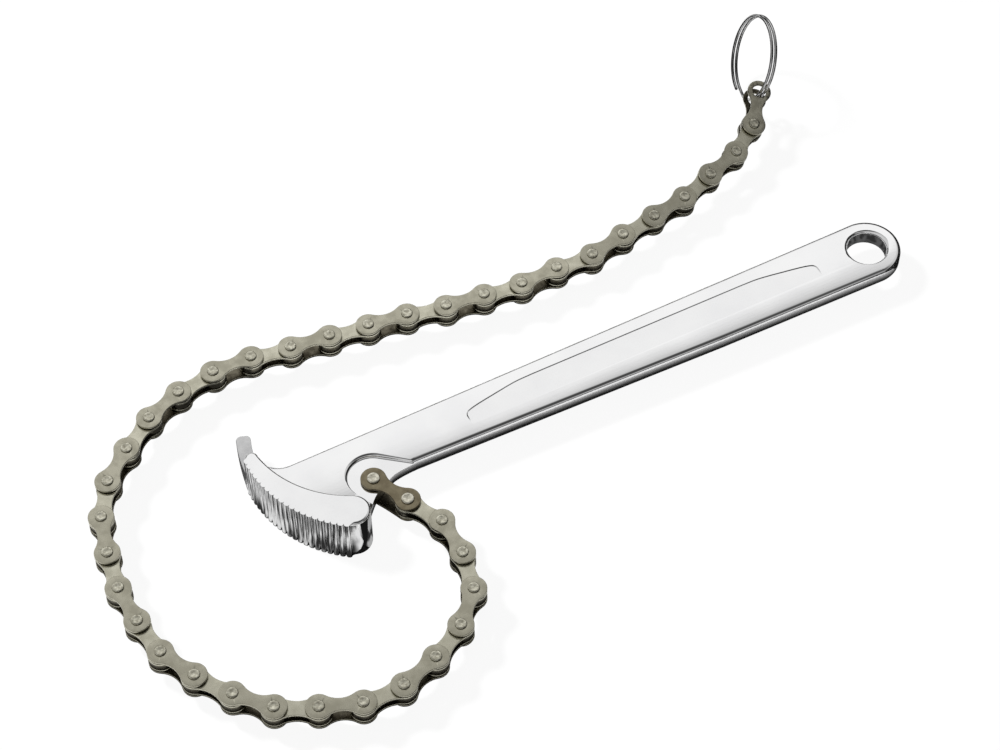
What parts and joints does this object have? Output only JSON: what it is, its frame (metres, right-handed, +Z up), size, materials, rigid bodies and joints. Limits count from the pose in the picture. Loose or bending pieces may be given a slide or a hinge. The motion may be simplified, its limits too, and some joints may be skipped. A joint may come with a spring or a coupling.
{
  "type": "chain wrench",
  "caption": "Hand chain wrench: flat forged handle with a hanging eye, a toothed crescent jaw with a hook, a roller chain on an anchor rivet and a pull ring.",
  "frame": {"origin": "on the lower flat face of the jaw, midway across its crescent, on the line through the anchor rivet along the handle", "axes": "+X down the handle towards the hanging eye, +Z up from the lower jaw face through the tool's thickness, +Y towards the hook"},
  "size_m": [0.2774, 0.1738, 0.0323],
  "materials": {
    "polished_chrome": "polished",
    "chain_nickel": "satin nickel plate",
    "dark_oxide": "dark brown oxide",
    "bright_steel": "bright peened",
    "ring_chrome": "polished"
  },
  "bodies": {
    "handle": {"handle": "polished_chrome"},
    "link_00": {"anchor_plate_top": "dark_oxide", "anchor_plate_bottom": "dark_oxide", "anchor_rivet": "bright_steel", "first_link_rivet": "bright_steel"},
    "link_01": {"inner_link_01_plate_top": "chain_nickel", "inner_link_01_plate_bottom": "chain_nickel", "bushing_a": "chain_nickel", "bushing_b": "chain_nickel"},
    "roller_a": {"roller_a": "chain_nickel"},
    "roller_b": {"roller_b": "chain_nickel"},
    "link_02": {"outer_link_02_plate_top": "chain_nickel", "outer_link_02_plate_bottom": "chain_nickel", "chain_pin_a": "chain_nickel", "chain_pin_b": "chain_nickel"},
    "link_03": {"inner_link_03": "chain_nickel"},
    "link_04": {"outer_link_04": "chain_nickel"},
    "link_05": {"inner_link_05": "chain_nickel"},
    "link_06": {"outer_link_06": "chain_nickel"},
    "link_07": {"inner_link_07": "chain_nickel"},
    "link_08": {"outer_link_08": "chain_nickel"},
    "link_09": {"inner_link_09": "chain_nickel"},
    "link_10": {"outer_link_10": "chain_nickel"},
    "link_11": {"inner_link_11": "chain_nickel"},
    "link_12": {"outer_link_12": "chain_nickel"},
    "link_13": {"inner_link_13": "chain_nickel"},
    "link_14": {"outer_link_14": "chain_nickel"},
    "link_15": {"inner_link_15": "chain_nickel"},
    "link_16": {"outer_link_16": "chain_nickel"},
    "link_17": {"inner_link_17": "chain_nickel"},
    "link_18": {"outer_link_18": "chain_nickel"},
    "link_19": {"inner_link_19": "chain_nickel"},
    "link_20": {"outer_link_20": "chain_nickel"},
    "link_21": {"inner_link_21": "chain_nickel"},
    "link_22": {"outer_link_22": "chain_nickel"},
    "link_23": {"inner_link_23": "chain_nickel"},
    "link_24": {"outer_link_24": "chain_nickel"},
    "link_25": {"inner_link_25": "chain_nickel"},
    "link_26": {"outer_link_26": "chain_nickel"},
    "link_27": {"inner_link_27": "chain_nickel"},
    "link_28": {"outer_link_28": "chain_nickel"},
    "link_29": {"inner_link_29": "chain_nickel"},
    "link_30": {"outer_link_30": "chain_nickel"},
    "link_31": {"inner_link_31": "chain_nickel"},
    "link_32": {"outer_link_32": "chain_nickel"},
    "link_33": {"inner_link_33": "chain_nickel"},
    "link_34": {"outer_link_34": "chain_nickel"},
    "link_35": {"inner_link_35": "chain_nickel"},
    "link_36": {"outer_link_36": "chain_nickel"},
    "link_37": {"inner_link_37": "chain_nickel"},
    "link_38": {"end_plate_top": "chain_nickel", "end_plate_bottom": "chain_nickel", "end_rivet": "chain_nickel"},
    "pull_ring": {"pull_ring": "ring_chrome"}
  },
  "joints": [
    {"name": "chain_hinge_00", "type": "hinge", "parent": "handle", "child": "link_00", "pos_m": [0.0224, 0, 0.0087], "axis": [0, 0, 1], "range_deg": [-11, 35]},
    {"name": "chain_hinge_01", "type": "hinge", "parent": "link_00", "child": "link_01", "pos_m": [0.02836, -0.01121, 0.0087], "axis": [0, 0, -1], "range_deg": [-45, 11]},
    {"name": "chain_hinge_02", "type": "hinge", "parent": "link_01", "child": "link_02", "pos_m": [0.03413, -0.02253, 0.0087], "axis": [0, 0, -1], "range_deg": [-45, 12]},
    {"name": "chain_hinge_03", "type": "hinge", "parent": "link_02", "child": "link_03", "pos_m": [0.03457, -0.03522, 0.0087], "axis": [0, 0, 1], "range_deg": [-12, 45]},
    {"name": "chain_hinge_04", "type": "hinge", "parent": "link_03", "child": "link_04", "pos_m": [0.03193, -0.04764, 0.0087], "axis": [0, 0, 1], "range_deg": [-11, 45]},
    {"name": "chain_hinge_05", "type": "hinge", "parent": "link_04", "child": "link_05", "pos_m": [0.02311, -0.05678, 0.0087], "axis": [0, 0, 1], "range_deg": [-10, 45]},
    {"name": "chain_hinge_06", "type": "hinge", "parent": "link_05", "child": "link_06", "pos_m": [0.012, -0.06294, 0.0087], "axis": [0, 0, -1], "range_deg": [-45, 9]},
    {"name": "chain_hinge_07", "type": "hinge", "parent": "link_06", "child": "link_07", "pos_m": [-0.00008, -0.06686, 0.0087], "axis": [0, 0, 1], "range_deg": [-9, 45]},
    {"name": "chain_hinge_08", "type": "hinge", "parent": "link_07", "child": "link_08", "pos_m": [-0.01278, -0.06664, 0.0087], "axis": [0, 0, -1], "range_deg": [-45, 8]},
    {"name": "chain_hinge_09", "type": "hinge", "parent": "link_08", "child": "link_09", "pos_m": [-0.02463, -0.06209, 0.0087], "axis": [0, 0, 1], "range_deg": [-7, 45]},
    {"name": "chain_hinge_10", "type": "hinge", "parent": "link_09", "child": "link_10", "pos_m": [-0.03595, -0.05632, 0.0087], "axis": [0, 0, -1], "range_deg": [-45, 7]},
    {"name": "chain_hinge_11", "type": "hinge", "parent": "link_10", "child": "link_11", "pos_m": [-0.04461, -0.04703, 0.0087], "axis": [0, 0, 1], "range_deg": [-6, 45]},
    {"name": "chain_hinge_12", "type": "hinge", "parent": "link_11", "child": "link_12", "pos_m": [-0.05189, -0.03663, 0.0087], "axis": [0, 0, -1], "range_deg": [-45, 6]},
    {"name": "chain_hinge_13", "type": "hinge", "parent": "link_12", "child": "link_13", "pos_m": [-0.05746, -0.02522, 0.0087], "axis": [0, 0, -1], "range_deg": [-45, 6]},
    {"name": "chain_hinge_14", "type": "hinge", "parent": "link_13", "child": "link_14", "pos_m": [-0.05945, -0.01267, 0.0087], "axis": [0, 0, 1], "range_deg": [-6, 45]},
    {"name": "chain_hinge_15", "type": "hinge", "parent": "link_14", "child": "link_15", "pos_m": [-0.06011, 0.00001, 0.0087], "axis": [0, 0, -1], "range_deg": [-45, 6]},
    {"name": "chain_hinge_16", "type": "hinge", "parent": "link_15", "child": "link_16", "pos_m": [-0.05834, 0.01259, 0.0087], "axis": [0, 0, 1], "range_deg": [-6, 45]},
    {"name": "chain_hinge_17", "type": "hinge", "parent": "link_16", "child": "link_17", "pos_m": [-0.05527, 0.02491, 0.0087], "axis": [0, 0, 1], "range_deg": [-6, 45]},
    {"name": "chain_hinge_18", "type": "hinge", "parent": "link_17", "child": "link_18", "pos_m": [-0.04873, 0.03579, 0.0087], "axis": [0, 0, -1], "range_deg": [-45, 7]},
    {"name": "chain_hinge_19", "type": "hinge", "parent": "link_18", "child": "link_19", "pos_m": [-0.03915, 0.04413, 0.0087], "axis": [0, 0, 1], "range_deg": [-7, 45]},
    {"name": "chain_hinge_20", "type": "hinge", "parent": "link_19", "child": "link_20", "pos_m": [-0.02874, 0.05141, 0.0087], "axis": [0, 0, -1], "range_deg": [-45, 8]},
    {"name": "chain_hinge_21", "type": "hinge", "parent": "link_20", "child": "link_21", "pos_m": [-0.01697, 0.05617, 0.0087], "axis": [0, 0, -1], "range_deg": [-45, 8]},
    {"name": "chain_hinge_22", "type": "hinge", "parent": "link_21", "child": "link_22", "pos_m": [-0.00446, 0.05837, 0.0087], "axis": [0, 0, 1], "range_deg": [-9, 45]},
    {"name": "chain_hinge_23", "type": "hinge", "parent": "link_22", "child": "link_23", "pos_m": [0.00824, 0.05815, 0.0087], "axis": [0, 0, 1], "range_deg": [-10, 45]},
    {"name": "chain_hinge_24", "type": "hinge", "parent": "link_23", "child": "link_24", "pos_m": [0.02074, 0.05595, 0.0087], "axis": [0, 0, 1], "range_deg": [-11, 45]},
    {"name": "chain_hinge_25", "type": "hinge", "parent": "link_24", "child": "link_25", "pos_m": [0.03335, 0.0544, 0.0087], "axis": [0, 0, -1], "range_deg": [-45, 13]},
    {"name": "chain_hinge_26", "type": "hinge", "parent": "link_25", "child": "link_26", "pos_m": [0.04593, 0.05263, 0.0087], "axis": [0, 0, -1], "range_deg": [-45, 14]},
    {"name": "chain_hinge_27", "type": "hinge", "parent": "link_26", "child": "link_27", "pos_m": [0.0585, 0.05086, 0.0087], "axis": [0, 0, 1], "range_deg": [-16, 45]},
    {"name": "chain_hinge_28", "type": "hinge", "parent": "link_27", "child": "link_28", "pos_m": [0.07092, 0.04822, 0.0087], "axis": [0, 0, -1], "range_deg": [-45, 18]},
    {"name": "chain_hinge_29", "type": "hinge", "parent": "link_28", "child": "link_29", "pos_m": [0.08353, 0.04668, 0.0087], "axis": [0, 0, 1], "range_deg": [-21, 45]},
    {"name": "chain_hinge_30", "type": "hinge", "parent": "link_29", "child": "link_30", "pos_m": [0.09614, 0.04513, 0.0087], "axis": [0, 0, -1], "range_deg": [-45, 24]},
    {"name": "chain_hinge_31", "type": "hinge", "parent": "link_30", "child": "link_31", "pos_m": [0.10883, 0.04557, 0.0087], "axis": [0, 0, -1], "range_deg": [-45, 29]},
    {"name": "chain_hinge_32", "type": "hinge", "parent": "link_31", "child": "link_32", "pos_m": [0.12153, 0.04535, 0.0087], "axis": [-0.0013, -0.0767, 0.9971], "range_deg": [-34, 45]},
    {"name": "chain_hinge_33", "type": "hinge", "parent": "link_32", "child": "link_33", "pos_m": [0.13399, 0.04777, 0.0089], "axis": [0.0013, 0.0767, -0.9971], "range_deg": [-45, 41]},
    {"name": "chain_hinge_34", "type": "hinge", "parent": "link_33", "child": "link_34", "pos_m": [0.1465, 0.04996, 0.00909], "axis": [-0.012, 0.1518, -0.9883], "range_deg": [-45, 45]},
    {"name": "chain_hinge_35", "type": "hinge", "parent": "link_34", "child": "link_35", "pos_m": [0.15901, 0.05216, 0.00927], "axis": [0.012, -0.1518, 0.9883], "range_deg": [-45, 45]},
    {"name": "chain_hinge_36", "type": "hinge", "parent": "link_35", "child": "link_36", "pos_m": [0.17094, 0.05647, 0.00979], "axis": [-0.0382, 0.2226, -0.9742], "range_deg": [-45, 45]},
    {"name": "chain_hinge_37", "type": "hinge", "parent": "link_36", "child": "link_37", "pos_m": [0.18295, 0.06058, 0.01026], "axis": [-0.0382, 0.2226, -0.9742], "range_deg": [-45, 45]},
    {"name": "chain_hinge_38", "type": "hinge", "parent": "link_37", "child": "link_38", "pos_m": [0.19349, 0.06757, 0.01144], "axis": [-0.0808, 0.2837, -0.9555], "range_deg": [-45, 45]},
    {"name": "roller_spin_a", "type": "hinge", "parent": "link_01", "child": "roller_a", "pos_m": [0.02836, -0.01121, 0.0087], "axis": [0, 0, 1], "continuous": true},
    {"name": "roller_spin_b", "type": "hinge", "parent": "link_01", "child": "roller_b", "pos_m": [0.03413, -0.02253, 0.0087], "axis": [0, 0, 1], "continuous": true},
    {"name": "ring_swivel", "type": "hinge", "parent": "link_38", "child": "pull_ring", "pos_m": [0.20116, 0.07743, 0.01372], "axis": [0.0808, -0.2837, 0.9555], "range_deg": [-75, 75]}
  ]
}
